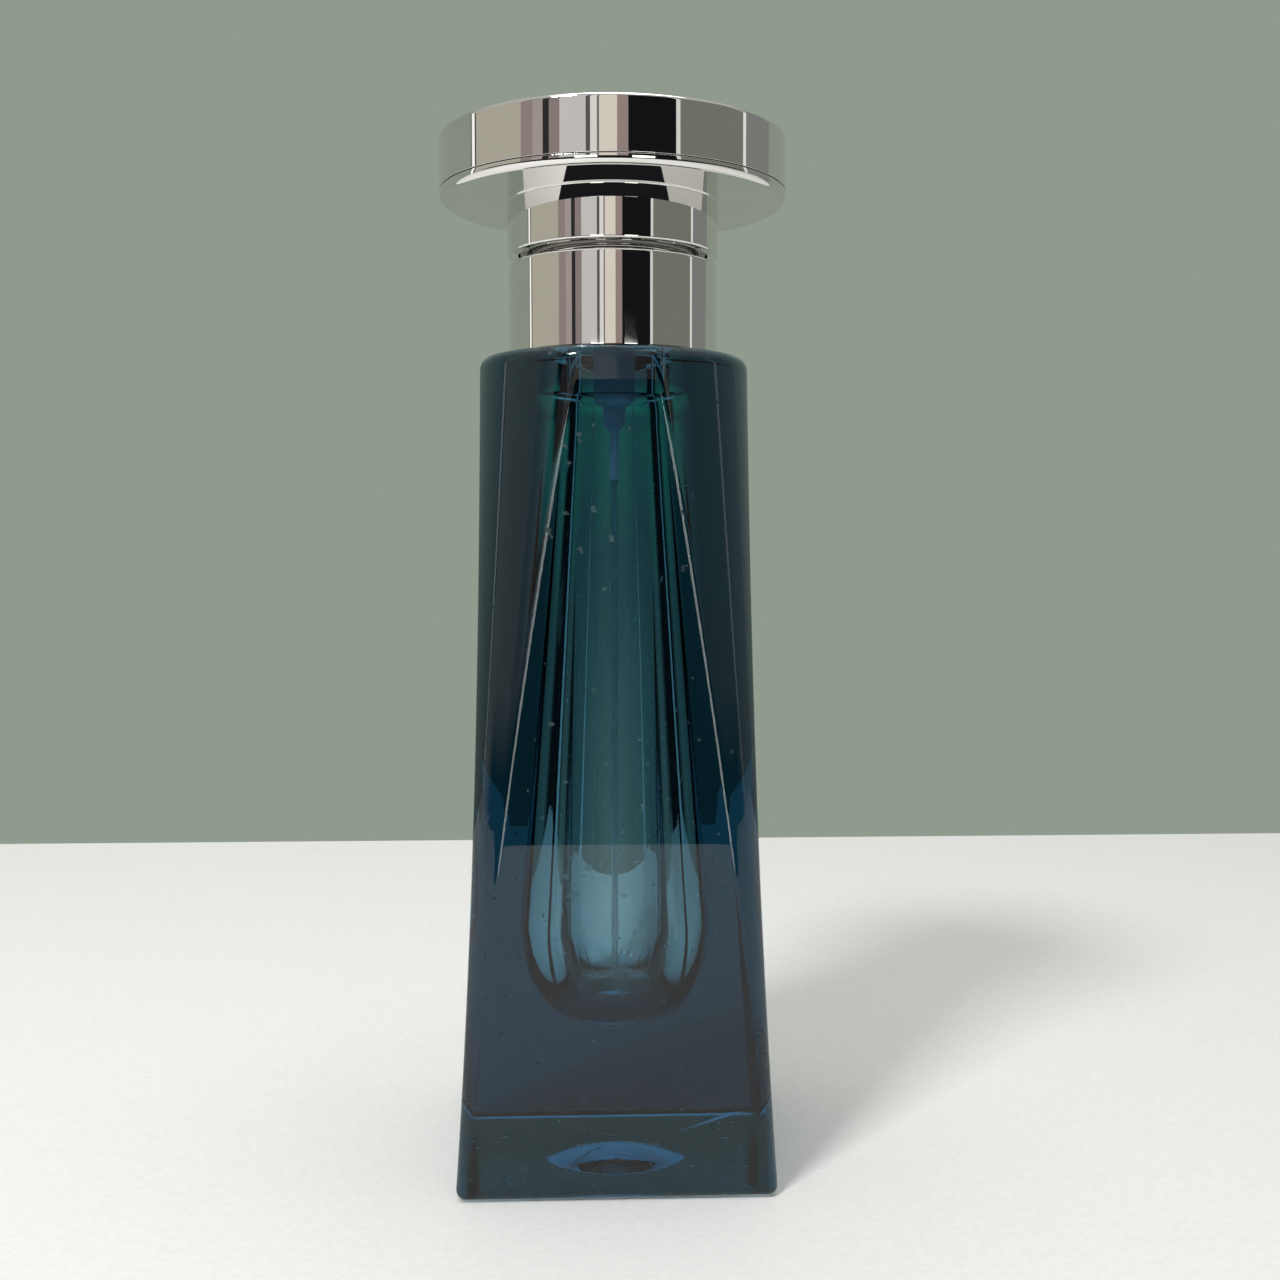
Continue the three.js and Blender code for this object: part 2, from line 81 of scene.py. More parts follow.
NOSE_LOW, FLANGE_TOP = edge("pump_housing", 0, 2), edge("pump_housing", 1, 2)
FLANGE_R = edge("pump_housing", 1, 0)
FERRULE_LOW, FERRULE_TOP = edge("crimp_ferrule", 0, 2), edge("crimp_ferrule", 1, 2)
FERRULE_R = edge("crimp_ferrule", 1, 0)
SPRING_LOW, SPRING_HIGH = edge("return_spring", 0, 2), edge("return_spring", 1, 2)

SHOULDER = COLLAR_LOW - 0.25    # flat top of the glass shoulder
BASE_HALF = 21.8                # half the width of the square base
BASE_CORNER_R = 1.5             # vertical corners of the glass at the base
FACET_TOP, FACET_FLARE = 18.7, 2.5        # distance from the axis at the shoulder, how late it bends out
FACET_HALF_TOP, FACET_SPREAD = 4.9, 1.35  # half width at the shoulder, how soon it widens
BASE_EDGE_R, SHOULDER_EDGE_R = 1.2, 2.0
CREASE_LOW_R, CREASE_HIGH_R = 1.0, 3.2    # softened line between a facet and a round corner
NECK_R, NECK_BEAD_R, NECK_BORE_R = 8.9, 9.9, 7.0
BEAD_LOW, BEAD_FULL = 118.3, 119.0        # where the bead starts, and where it is at its widest
PUNT_R, PUNT_DEPTH = 10.0, 1.8            # shallow hollow under the base

CAVITY_LOW_R, CAVITY_HIGH_R = 13.5, 7.8   # round hollow, narrower towards the neck
CAVITY_HIGH, CAVITY_LOW = 104.2, 34.0     # ends of its straight wall
CAVITY_TOP, CAVITY_FLOOR = 108.4, 19.4
CAVITY_SHOULDER_R = 0.7
BOWL_FULLNESS = 0.62                      # 1 makes the floor a half ellipse, less makes it flatter

TUBE_R, TUBE_BORE_R = 0.72, 0.45
HOUSING_R, HOUSING_BORE_R = 4.3, 3.3      # pump housing, from its flange down to the ball chamber
CHAMBER_R, CHAMBER_BORE_R = 2.4, 1.45
CHAMBER_LOW, CHAMBER_HIGH, BORE_FLOOR = 104.8, 107.3, 108.9
NOSE_R, NOSE_BORE_R = 1.0, 0.78           # socket that holds the dip tube
COLLAR_TOP, BOSS_R = 127.1, 11.6
COLLAR_WALL, BOSS_WALL = 1.2, 1.0


# ---------------------------------------------------------------- mesh helpers
# Sides of a box whose corners are four anticlockwise points low down and the same four high up.
BOX_FACES = ((3, 2, 1, 0), (4, 5, 6, 7), (0, 1, 5, 4), (1, 2, 6, 5), (2, 3, 7, 6), (3, 0, 4, 7))


def lerp(a, b, t):
    return a + (b - a) * t


def in_scene(name, mesh, material):
    """A new object in the scene, made from a mesh and one material."""
    made = bpy.data.objects.new(name, mesh)
    bpy.context.scene.collection.objects.link(made)
    mesh.materials.append(material)
    return made


def soften(mesh):
    """Vertex normals led by the largest faces, so that small roundings don't bend wide flat ones."""
    normals = np.zeros((len(mesh.vertices), 3))
    for face in mesh.polygons:
        pull = np.array(face.normal) * face.area
        for vertex in face.vertices:
            normals[vertex] += pull
    lengths = np.linalg.norm(normals, axis=1, keepdims=True)
    mesh.polygons.foreach_set("use_smooth", [True] * len(mesh.polygons))
    mesh.normals_split_custom_set_from_vertices((normals / np.maximum(lengths, 1e-12)).tolist())


def piece(name, points, faces, material):
    """A closed mesh object from points in millimetres."""
    mesh = bpy.data.meshes.new(name)
    mesh.from_pydata([Vector(p) * MM for p in points], [], faces)
    mesh.validate()
    soften(mesh)
    return in_scene(name, mesh, material)


def loft(rings, closed=False):
    """Points and faces through rings of equal length. A ring of one point is a pole."""
    points, starts = [], []
    for ring in rings:
        starts.append(len(points))
        points.extend(ring)
    faces = []
    pairs = list(zip(range(len(rings)), range(1, len(rings))))
    if closed:
        pairs.append((len(rings) - 1, 0))
    for a, b in pairs:
        count = max(len(rings[a]), len(rings[b]))
        if count == 1:
            continue
        for i in range(count):
            j = (i + 1) % count
            low = [starts[a] + (k if len(rings[a]) > 1 else 0) for k in (i, j)]
            high = [starts[b] + (k if len(rings[b]) > 1 else 0) for k in (j, i)]
            faces.append(list(dict.fromkeys(low + high)))
    return points, faces


def rounded(profile, steps=5):
    """A closed outline of (r, z, rounding) corners as (r, z) points, each rounding as an arc."""
    outline = []
    for i, (r, z, *rounding) in enumerate(profile):
        size = rounding[0] if rounding else 0
        here = Vector((r, z))
        before = Vector(profile[i - 1][:2]) - here
        after = Vector(profile[(i + 1) % len(profile)][:2]) - here
        if not size or r < 1e-6:
            outline.append((r, z))
            continue
        half = before.angle(after) / 2
        reach = size / math.tan(half)
        centre = here + (before.normalized() + after.normalized()).normalized() * size / math.sin(half)
        start = here + before.normalized() * reach - centre
        turn = start.angle_signed(here + after.normalized() * reach - centre)
        for step in range(steps + 1):
            angle = math.atan2(start.y, start.x) - turn * step / steps
            outline.append((centre.x + size * math.cos(angle), centre.y + size * math.sin(angle)))
    return outline


def turned(name, profile, material, segments=144, steps=5):
    """A body of revolution about +Z. The profile runs anticlockwise seen with r to the right."""
    rings = []
    for r, z in rounded(profile, steps):
        if r < 1e-6:
            rings.append([(0.0, 0.0, z)])
            continue
        angles = (2 * math.pi * i / segments for i in range(segments))
        rings.append([(r * math.cos(a), r * math.sin(a), z) for a in angles])
    on_axis = len(rings[0]) == 1 and len(rings[-1]) == 1
    return piece(name, *loft(rings, closed=not on_axis), material)


def face_front(made, height):
    """Turns a body of revolution so that its axis runs along -Y at the given height."""
    for vertex in made.data.vertices:
        x, y, z = vertex.co
        vertex.co = (x, -z, y + height * MM)
    soften(made.data)
    return made


def cut(made, cutter):
    """Takes the cutter out of a piece and leaves the edges of the cut crisp."""
    tool = made.modifiers.new("cut", "BOOLEAN")
    tool.object = cutter
    tool.solver = "EXACT"
    bpy.context.view_layer.update()
    result = bpy.data.meshes.new_from_object(made.evaluated_get(bpy.context.evaluated_depsgraph_get()))
    made.modifiers.clear()
    made.data = result
    result.set_sharp_from_angle(angle=math.radians(40))
    bpy.data.objects.remove(cutter)
    return made


def ribs(count, low, high, material, name):
    """Upright bars round the axis, each a box between two (radial, tangential, height) corners."""
    bars = bmesh.new()
    (r0, t0, z0), (r1, t1, z1) = low, high
    for i in range(count):
        c, s = math.cos(2 * math.pi * i / count), math.sin(2 * math.pi * i / count)
        corners = [
            bars.verts.new(((r * c - t * s) * MM, (r * s + t * c) * MM, z * MM))
            for z in (z0, z1) for r, t in ((r0, t0), (r1, t0), (r1, t1), (r0, t1))
        ]
        for loop in BOX_FACES:
            bars.faces.new([corners[k] for k in loop])
    mesh = bpy.data.meshes.new(name)
    bars.to_mesh(mesh)
    bars.free()
    made = in_scene(name, mesh, material)
    bevel = made.modifiers.new("soft edges", "BEVEL")
    bevel.width, bevel.segments = 0.12 * MM, 2
    return made


# ---------------------------------------------------------------- materials
class Shader:
    """A material whose nodes are added one call at a time."""

    def __init__(self, name):
        self.material = bpy.data.materials.new(name)
        self.material.use_nodes = True
        self.nodes = self.material.node_tree.nodes
        self.links = self.material.node_tree.links
        self.surface = self.nodes["Principled BSDF"]
        self.place = self.add("ShaderNodeTexCoord").outputs["Object"]

    def add(self, kind, inputs=None, **settings):
        node = self.nodes.new(kind)
        for key, value in settings.items():
            setattr(node, key, value)
        for key, value in (inputs or {}).items():
            self.put(node.inputs[key], value)
        return node

    def put(self, socket, value):
        if isinstance(value, bpy.types.NodeSocket):
            self.links.new(value, socket)
        else:
            socket.default_value = value

    def set(self, **values):
        """Sets Principled sockets: base_color=..., roughness=... and so on."""
        for key, value in values.items():
            self.put(self.surface.inputs[key.replace("_", " ").title().replace("Ior", "IOR")], value)

    def noise(self, scale, detail=3.0, rough=0.55, stretch=None):
        where = self.place
        if stretch:
            where = self.add("ShaderNodeMapping", {"Vector": where, "Scale": stretch}).outputs[0]
        settings = {"Vector": where, "Scale": scale, "Detail": detail, "Roughness": rough}
        return self.add("ShaderNodeTexNoise", settings).outputs["Fac"]

    def spread(self, value, low, high, to_low, to_high):
        """Maps value from low..high to to_low..to_high, clamped."""
        inputs = {"Value": value, 1: low, 2: high, 3: to_low, 4: to_high}
        return self.add("ShaderNodeMapRange", inputs).outputs[0]

    def blend(self, factor, first, second):
        mix = self.add("ShaderNodeMix", data_type="RGBA")
        for socket, value in ((0, factor), (6, first), (7, second)):
            self.put(mix.inputs[socket], value)
        return mix.outputs[2]

    def math(self, operation, *values):
        node = self.add("ShaderNodeMath", operation=operation)
        for socket, value in zip(node.inputs, values):
            self.put(socket, value)
        return node.outputs[0]

    def bump(self, height, strength, distance):
        inputs = {"Height": height, "Strength": strength, "Distance": distance}
        self.links.new(self.add("ShaderNodeBump", inputs).outputs[0], self.surface.inputs["Normal"])


def scaled(colour, share):
    return [c * share for c in colour[:3]] + [1]


def polished_metal(name, colour, roughness):
    """Mirror metal with faint finger smears and hairline polishing marks."""
    m = Shader(name)
    smear = m.noise(90, 4, 0.6)
    m.set(metallic=1.0, roughness=m.spread(smear, 0.45, 0.8, roughness, roughness + 0.04))
    m.set(base_color=m.blend(m.spread(smear, 0.4, 0.8, 0, 1), colour, scaled(colour, 0.94)))
    m.bump(m.noise(700, 2, 0.5, (1, 1, 0.15)), 0.012, 0.00002)
    return m.material


def brushed_metal(name, colour, roughness):
    m = Shader(name)
    lines = m.noise(2200, 2, 0.6, (0.06, 0.06, 1))
    m.set(metallic=1.0, base_color=m.blend(m.spread(lines, 0.3, 0.7, 0, 1), colour, scaled(colour, 0.82)))
    m.set(roughness=m.spread(lines, 0.3, 0.7, roughness * 0.8, roughness * 1.25))
    m.bump(lines, 0.15, 0.00002)
    return m.material


def moulded_plastic(name, colour, roughness, milky=0.0):
    """Injection-moulded plastic: fine orange peel, slow tone changes."""
    m = Shader(name)
    tone = m.noise(220, 3)
    m.set(base_color=m.blend(m.spread(tone, 0.35, 0.7, 0, 1), colour, scaled(colour, 0.94)))
    m.set(roughness=m.spread(m.noise(900, 2), 0.35, 0.65, roughness * 0.85, roughness * 1.2))
    m.surface.inputs["IOR"].default_value = 1.49
    m.surface.inputs["Transmission Weight"].default_value = milky
    m.bump(m.noise(2600, 2), 0.08, 0.00002)
    return m.material


def rubber(name, colour):
    m = Shader(name)
    grain = m.noise(3000, 3)
    m.set(base_color=m.blend(m.spread(grain, 0.35, 0.65, 0, 1), colour, scaled(colour, 0.7)))
    m.set(roughness=m.spread(grain, 0.3, 0.7, 0.7, 0.9))
    m.bump(grain, 0.25, 0.00003)
    return m.material


GLASS_BULK = (0.24, 0.53, 0.62, 1)   # the part of each colour that the glass spares
GLASS_DENSITY = 180.0                # absorption per metre of the colours that it doesn't
GLASS_SKIN = (0.94, 0.97, 0.98, 1)   # colour left by the polished skin


def tinted_glass():
    """Blue-green glass coloured right through, with dust specks and hair scratches on its skin."""
    m = Shader("tinted_glass")
    specks = m.spread(m.noise(520, 2, 0.5), 0.695, 0.735, 0, 1)
    scratches = m.spread(m.noise(260, 2, 0.4, (1, 1, 0.08)), 0.70, 0.72, 0, 1)
    marks = m.math("MAXIMUM", specks, m.math("MULTIPLY", scratches, 0.5))
    m.set(base_color=m.blend(marks, GLASS_SKIN, (0.86, 0.92, 0.95, 1)))
    m.set(roughness=m.spread(marks, 0, 1, 0.0, 0.45))
    m.surface.inputs["IOR"].default_value = 1.5
    m.surface.inputs["Transmission Weight"].default_value = 1.0
    absorb = m.add("ShaderNodeVolumeAbsorption", {"Color": GLASS_BULK, "Density": GLASS_DENSITY})
    m.links.new(absorb.outputs[0], m.nodes["Material Output"].inputs["Volume"])
    m.bump(marks, 0.25, 0.00003)
    return m.material


chrome = polished_metal("mirror_chrome", (0.82, 0.805, 0.785, 1), 0.012)
silver = polished_metal("button_silver", (0.78, 0.78, 0.80, 1), 0.06)
aluminium = brushed_metal("satin_aluminium", (0.76, 0.77, 0.78, 1), 0.3)
steel = brushed_metal("spring_steel", (0.62, 0.63, 0.66, 1), 0.25)
white_plastic = moulded_plastic("white_plastic", (0.80, 0.80, 0.78, 1), 0.4)
milky_plastic = moulded_plastic("milky_plastic", (0.95, 0.82, 0.93, 1), 0.35)
clear_plastic = moulded_plastic("clear_tube", (0.93, 0.95, 0.95, 1), 0.08, 0.8)
grey_rubber = rubber("grey_rubber", (0.20, 0.205, 0.21, 1))
glass = tinted_glass()


def stand_in(made, body, slot, *nodes):
    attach(made, body)
    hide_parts(*nodes)
    return made


# ---------------------------------------------------------------- glass body
FLAT_STEPS, CREASE_STEPS, CORNER_STEPS = 8, 6, 18


def section(centre, radius, flat, crease, z):
    """A level with four flats and four round corners. Each corner turns about (centre, centre)."""
    side = flat - crease
    off = math.sqrt(max((radius - crease) ** 2 - (side - centre) ** 2, 0))
    start = math.atan2(off, side - centre)
    half = [(flat, (centre + off) * i / FLAT_STEPS) for i in range(FLAT_STEPS)]
    for i in range(CREASE_STEPS):
        angle = start * i / CREASE_STEPS
        half.append((side + crease * math.cos(angle), centre + off + crease * math.sin(angle)))
    arch = []
    for i in range(CORNER_STEPS + 1):
        angle = start + (math.pi / 2 - 2 * start) * i / CORNER_STEPS
        arch.append((centre + radius * math.cos(angle), centre + radius * math.sin(angle)))
    quarter = half + arch + [(y, x) for x, y in half[:0:-1]]
    ring = []
    for c, s in ((1, 0), (0, 1), (-1, 0), (0, -1)):
        ring.extend((x * c - y * s, x * s + y * c, z) for x, y in quarter)
    return ring


def outer_level(z, inset=0.0):
    """A level of the outside: facets that flare towards the base, and corners that tighten."""
    t = z / SHOULDER
    widest = BASE_HALF - BASE_CORNER_R
    flat = FACET_TOP + (BASE_HALF - FACET_TOP) * (1 - t) ** FACET_FLARE
    half = FACET_HALF_TOP + (widest - FACET_HALF_TOP) * (1 - t ** FACET_SPREAD)
    centre = (1 - t) * widest
    radius = math.hypot(flat - centre, half - centre) - inset
    crease = min(lerp(CREASE_LOW_R, CREASE_HIGH_R, t), radius * 0.6)
    return section(centre, radius, flat - inset, crease, z)


def circle_like(ring, radius, z):
    """A circle whose points stand at the same angles as a ring's."""
    return [(radius * x / math.hypot(x, y), radius * y / math.hypot(x, y), z) for x, y, _ in ring]


def quarter_round(radius, steps=6):
    """(inset, rise) pairs from a side into an end, for an edge of this radius."""
    for i in range(steps + 1):
        angle = math.pi / 2 * i / steps
        yield radius * (1 - math.cos(angle)), radius * math.sin(angle)


def hollow_outline():
    """(r, z) points of the inside of the glass, from the neck down to the edge of the floor."""
    outline = [(NECK_BORE_R, CAVITY_TOP + 1.2), (NECK_BORE_R + 0.1, CAVITY_TOP)]
    slope = (CAVITY_TOP - CAVITY_HIGH) / CAVITY_SHOULDER_R
    for inset, rise in reversed(list(quarter_round(CAVITY_SHOULDER_R, 12))[:-1]):
        outline.append((CAVITY_HIGH_R - inset, CAVITY_HIGH + rise * slope))
    for i in range(1, 12):
        outline.append((lerp(CAVITY_HIGH_R, CAVITY_LOW_R, i / 12), lerp(CAVITY_HIGH, CAVITY_LOW, i / 12)))
    for i in range(24):
        angle = math.pi / 2 * i / 24
        drop = (CAVITY_LOW - CAVITY_FLOOR) * math.sin(angle)
        outline.append((CAVITY_LOW_R * math.cos(angle) ** BOWL_FULLNESS, CAVITY_LOW - drop))
    return outline


def glass_rings():
    """The whole skin of the glass, from the middle of the base round to the cavity's floor."""
    sphere_r = (PUNT_R ** 2 + PUNT_DEPTH ** 2) / (2 * PUNT_DEPTH)
    base = outer_level(0.0, BASE_EDGE_R)
    rings = [[(0, 0, PUNT_DEPTH)]]
    for i in range(1, 9):
        r = PUNT_R * i / 8
        rings.append(circle_like(base, r, PUNT_DEPTH - sphere_r + math.sqrt(sphere_r ** 2 - r * r)))
    rings.append(circle_like(base, PUNT_R + 0.3, 0))
    for inset, rise in reversed(list(quarter_round(BASE_EDGE_R))):
        rings.append(outer_level(BASE_EDGE_R - rise, inset))
    for i in range(1, 30):
        rings.append(outer_level(lerp(BASE_EDGE_R, SHOULDER - SHOULDER_EDGE_R, i / 30)))
    for inset, rise in quarter_round(SHOULDER_EDGE_R):
        rings.append(outer_level(SHOULDER - SHOULDER_EDGE_R + rise, inset))
    # The first corner and the last two only give the neck's roundings their directions.
    neck = rounded([
        (NECK_R + 8, SHOULDER), (NECK_R, SHOULDER, 0.6), (NECK_R, BEAD_LOW, 0.3),
        (NECK_BEAD_R, BEAD_FULL, 0.3), (NECK_BEAD_R, NECK_TOP, 0.5), (NECK_BORE_R, NECK_TOP, 0.5),
        (NECK_BORE_R, SHOULDER - 4), (0, 0),
    ])[1:-2]
    for r, z in neck + hollow_outline():
        rings.append(circle_like(base, r, z))
    rings.append([(0, 0, CAVITY_FLOOR)])
    return rings


stand_in(piece("glass_body", *loft(glass_rings()), glass), "bottle", "tinted_glass", "glass_bottle")

# ---------------------------------------------------------------- collar and cap
LEDGE_LOW = COLLAR_TOP - 1.1    # underside of the ledge between the collar and its boss
stand_in(turned("polished_collar", [
    (COLLAR_R - COLLAR_WALL, COLLAR_LOW, 0.1), (COLLAR_R, COLLAR_LOW, 0.25),
    (COLLAR_R, COLLAR_TOP, 0.45), (BOSS_R, COLLAR_TOP, 0.3),
    (BOSS_R, BOSS_TOP, 0.4), (BOSS_R - BOSS_WALL, BOSS_TOP, 0.2),
    (BOSS_R - BOSS_WALL, LEDGE_LOW, 0.1), (COLLAR_R - COLLAR_WALL, LEDGE_LOW, 0.1),
], chrome), "bottle", "polished_metal", "collar_shell")

SEAM_GAP = 0.12
LIP_R, LIP_INNER_R = CAP_R - 1.75, CAP_R - 2.6    # upright lip that centres the disc's top shell
LIP_TOP, PLATE_TOP = CAP_SEAM + 1.4, CAP_LOW + 1.5
stand_in(turned("cap_underside", [
    (SLEEVE_R - SLEEVE_WALL, SLEEVE_LOW, 0.3), (SLEEVE_R, SLEEVE_LOW, 0.35), (SLEEVE_R, CAP_LOW, 0.2),
    (CAP_R, CAP_LOW, 0.9), (CAP_R, CAP_SEAM - SEAM_GAP, 0.06), (LIP_R, CAP_SEAM - SEAM_GAP),
    (LIP_R, LIP_TOP, 0.1), (LIP_INNER_R, LIP_TOP, 0.1), (LIP_INNER_R, PLATE_TOP, 0.1),
    (SLEEVE_R - SLEEVE_WALL, PLATE_TOP, 0.1),
], chrome), "cap", "polished_metal", "cap_base_sleeve")

DISC_WALL = 1.6
stand_in(turned("cap_disc", [
    (CAP_R - DISC_WALL, CAP_SEAM), (CAP_R, CAP_SEAM, 0.06), (CAP_R, CAP_TOP, 0.6), (0, CAP_TOP),
    (0, CAP_TOP - DISC_WALL), (CAP_R - DISC_WALL, CAP_TOP - DISC_WALL, 0.2),
], chrome), "cap", "polished_metal", "cap_top_shell")

LINER_R, GRIP_R = SLEEVE_R - 1.75, BOSS_R + 0.15
LINER_BORE_R = GRIP_R + 0.4
LINER_TOP, LINER_ROOF = CAP_TOP - 2.35, 1.0
stand_in(turned("cap_liner_cup", [
    (LINER_BORE_R, SLEEVE_LOW + 0.5, 0.15), (LINER_R, SLEEVE_LOW + 0.35, 0.2), (LINER_R, LINER_TOP, 0.2),
    (0, LINER_TOP), (0, LINER_TOP - LINER_ROOF), (LINER_BORE_R, LINER_TOP - LINER_ROOF, 0.5),
], white_plastic), "cap", "white_plastic", "cap_liner")
stand_in(ribs(
    8, (GRIP_R + 0.05, -0.45, SLEEVE_LOW + 1.1), (GRIP_R + 0.55, 0.45, SLEEVE_LOW + 10.1),
    white_plastic, "cap_liner_grips",
), "cap", "white_plastic", "cap_liner")

# ---------------------------------------------------------------- pump inside the glass
stand_in(turned("dip_tube_fine", [
    (TUBE_BORE_R, TUBE_LOW), (TUBE_R, TUBE_LOW), (TUBE_R, TUBE_TOP), (TUBE_BORE_R, TUBE_TOP),
], clear_plastic, 48), "bottle", "clear_plastic", "dip_tube")

FLANGE_LOW = FLANGE_TOP - 1.0
SOCKET_TOP = TUBE_TOP + 0.15
stand_in(turned("pump_housing_fine", [
    (NOSE_R, NOSE_LOW, 0.1), (NOSE_R, CHAMBER_LOW - 0.8, 0.4), (CHAMBER_R, CHAMBER_LOW, 0.5),
    (CHAMBER_R, CHAMBER_HIGH, 0.3), (HOUSING_R, CHAMBER_HIGH + 1.0, 0.7), (HOUSING_R, FLANGE_LOW, 0.2),
    (FLANGE_R, FLANGE_LOW, 0.15), (FLANGE_R, FLANGE_TOP, 0.15), (HOUSING_BORE_R, FLANGE_TOP),
    (HOUSING_BORE_R, BORE_FLOOR), (CHAMBER_BORE_R, BORE_FLOOR), (CHAMBER_BORE_R, BORE_FLOOR - 2.5),
    (TUBE_BORE_R, BORE_FLOOR - 3.5), (TUBE_BORE_R, SOCKET_TOP), (NOSE_BORE_R, SOCKET_TOP),
    (NOSE_BORE_R, NOSE_LOW),
], milky_plastic, 96), "bottle", "clear_plastic", "pump_housing")

FERRULE_HOLE_R, FERRULE_WALL = 3.45, 0.4
FERRULE_INNER_R, FERRULE_ROOF = FERRULE_R - FERRULE_WALL, FERRULE_TOP - FERRULE_WALL
CRIMP_TOP = 118.2               # where the wall starts to turn in under the bead
stand_in(turned("crimp_ferrule_fine", [
    (NECK_R + 0.15, FERRULE_LOW + 0.2, 0.1), (NECK_R + 0.55, FERRULE_LOW, 0.1),
    (FERRULE_R, CRIMP_TOP, 0.5), (FERRULE_R, FERRULE_TOP, 0.5), (FERRULE_HOLE_R, FERRULE_TOP),
    (FERRULE_HOLE_R, FERRULE_ROOF), (FERRULE_INNER_R, FERRULE_ROOF, 0.2),
    (FERRULE_INNER_R, CRIMP_TOP + 0.2, 0.3),
], aluminium, 96), "bottle", "aluminium", "crimp_ferrule")


def coil(name, radius, wire, low, high, turns, material):
    """A spring whose end coils lie nearly flat."""
    sides, steps = 10, turns * 36
    rings = []
    for i in range(steps + 1):
        t = i / steps
        angle = 2 * math.pi * turns * t
        z = lerp(low, high, lerp(t, t * t * (3 - 2 * t), 0.55))
        out = Vector((math.cos(angle), math.sin(angle), 0))
        middle = out * radius + Vector((0, 0, z))
        around = (2 * math.pi * k / sides for k in range(sides))
        rings.append([
            middle + out * wire * math.cos(a) + Vector((0, 0, wire * math.sin(a))) for a in around
        ])
    first, last = ([ring[0].lerp(ring[sides // 2], 0.5)] for ring in (rings[0], rings[-1]))
    return piece(name, *loft([first, *rings, last]), material)


COIL_R, WIRE_R, COIL_TURNS = 2.6, 0.24, 6
coil_ends = SPRING_LOW + WIRE_R, SPRING_HIGH - WIRE_R
spring = stand_in(
    coil("return_spring_fine", COIL_R, WIRE_R, *coil_ends, COIL_TURNS, steel),
    "bottle", "steel", "return_spring",
)
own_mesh(spring)

# ---------------------------------------------------------------- spray button
INSERT_R, CORE_R = 1.9, BUTTON_R - 0.55
SKIN, SKIN_TOP = 0.45, 0.55     # thickness of the button's metal, round its side and on top
cover = turned("button_skin", [
    (BUTTON_R - SKIN, BUTTON_LOW), (BUTTON_R, BUTTON_LOW, 0.1), (BUTTON_R, BUTTON_TOP, 0.8),
    (0, BUTTON_TOP), (0, BUTTON_TOP - SKIN_TOP), (BUTTON_R - SKIN, BUTTON_TOP - SKIN_TOP, 0.4),
], silver, 120)
WINDOW_R, WINDOW_BACK, WINDOW_FRONT = INSERT_R + 0.5, 4, 9
window = face_front(turned("button_window", [
    (0, WINDOW_BACK), (WINDOW_R, WINDOW_BACK), (WINDOW_R, WINDOW_FRONT), (0, WINDOW_FRONT),
], silver, 64), NOZZLE_Z)
stand_in(cut(cover, window), "button", "silver_metal", "actuator_cover")

INSERT_FACE, INSERT_DEPTH = CORE_R - 0.1, 2.0
DIMPLE_R, DIMPLE_FLOOR_R, DIMPLE_DEPTH = 1.0, 0.5, 0.4
ORIFICE_R, ORIFICE_DEPTH = 0.22, 1.2
stand_in(face_front(turned("nozzle_insert", [
    (0, INSERT_FACE - INSERT_DEPTH), (INSERT_R, INSERT_FACE - INSERT_DEPTH, 0.1),
    (INSERT_R, INSERT_FACE, 0.25), (DIMPLE_R, INSERT_FACE, 0.1),
    (DIMPLE_FLOOR_R, INSERT_FACE - DIMPLE_DEPTH), (ORIFICE_R, INSERT_FACE - DIMPLE_DEPTH),
    (ORIFICE_R, INSERT_FACE - ORIFICE_DEPTH), (0, INSERT_FACE - ORIFICE_DEPTH),
], white_plastic, 64), NOZZLE_Z), "button", "white_plastic", "spray_insert")

BALL_R, BALL_STEPS = 1.15, 24
BALL_CENTRE = edge("inlet_ball", 0, 2) + BALL_R
ball_angles = [math.pi * i / BALL_STEPS for i in range(BALL_STEPS + 1)]
stand_in(turned("inlet_ball_fine", [
    (BALL_R * math.sin(a), BALL_CENTRE - BALL_R * math.cos(a)) for a in ball_angles
], steel, 48), "ball", "steel", "inlet_ball")

for name, look in {
    "neck_gasket": grey_rubber, "stem_seal": grey_rubber, "stem_gland": white_plastic,
    "pump_piston": white_plastic, "pump_stem": white_plastic, "collar_insert": white_plastic,
    "actuator_core": white_plastic, "cap_weight_ring": steel,
}.items():
    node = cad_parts[name]
    node.data.materials.clear()
    node.data.materials.append(look)

# ---------------------------------------------------------------- stage
# The table, in metres. The bottle stands a hair above it, so that the two don't touch.
TABLE_FRONT, TABLE_BACK, TABLE_HALF = -0.33, 0.210, 0.9
TABLE_LOW, TABLE_TOP = -0.03, -0.0002


def table():
    m = Shader("stage_table")
    grain = m.noise(900, 3)
    light, dark = (0.80, 0.80, 0.785, 1), (0.77, 0.77, 0.76, 1)
    m.set(base_color=m.blend(m.spread(grain, 0.4, 0.6, 0, 1), light, dark), roughness=0.55)
    outline = (
        (-TABLE_HALF, TABLE_FRONT), (TABLE_HALF, TABLE_FRONT),
        (TABLE_HALF, TABLE_BACK), (-TABLE_HALF, TABLE_BACK),
    )
    mesh = bpy.data.meshes.new("table")
    mesh.from_pydata([(x, y, z) for z in (TABLE_LOW, TABLE_TOP) for x, y in outline], [], BOX_FACES)
    in_scene("table", mesh, m.material)


table()

BACKDROP = (0.28, 0.325, 0.27, 1)
UNLIT = (0.012, 0.012, 0.014, 1)                # low down, and straight ahead of a facet
STRIP_LIGHT = (4.0, 4.1, 4.0, 1)
CEILING = (0.50, 0.50, 0.48, 1)
# What light that has passed through the glass meets: to the sides, high up behind, and overhead.
THROUGH_GLASS_DARK = (0.015, 0.02, 0.022, 1)
THROUGH_GLASS_WALL = (0.28, 0.72, 0.42, 1)
THROUGH_GLASS_TOP = (4.0, 4.0, 4.0, 1)
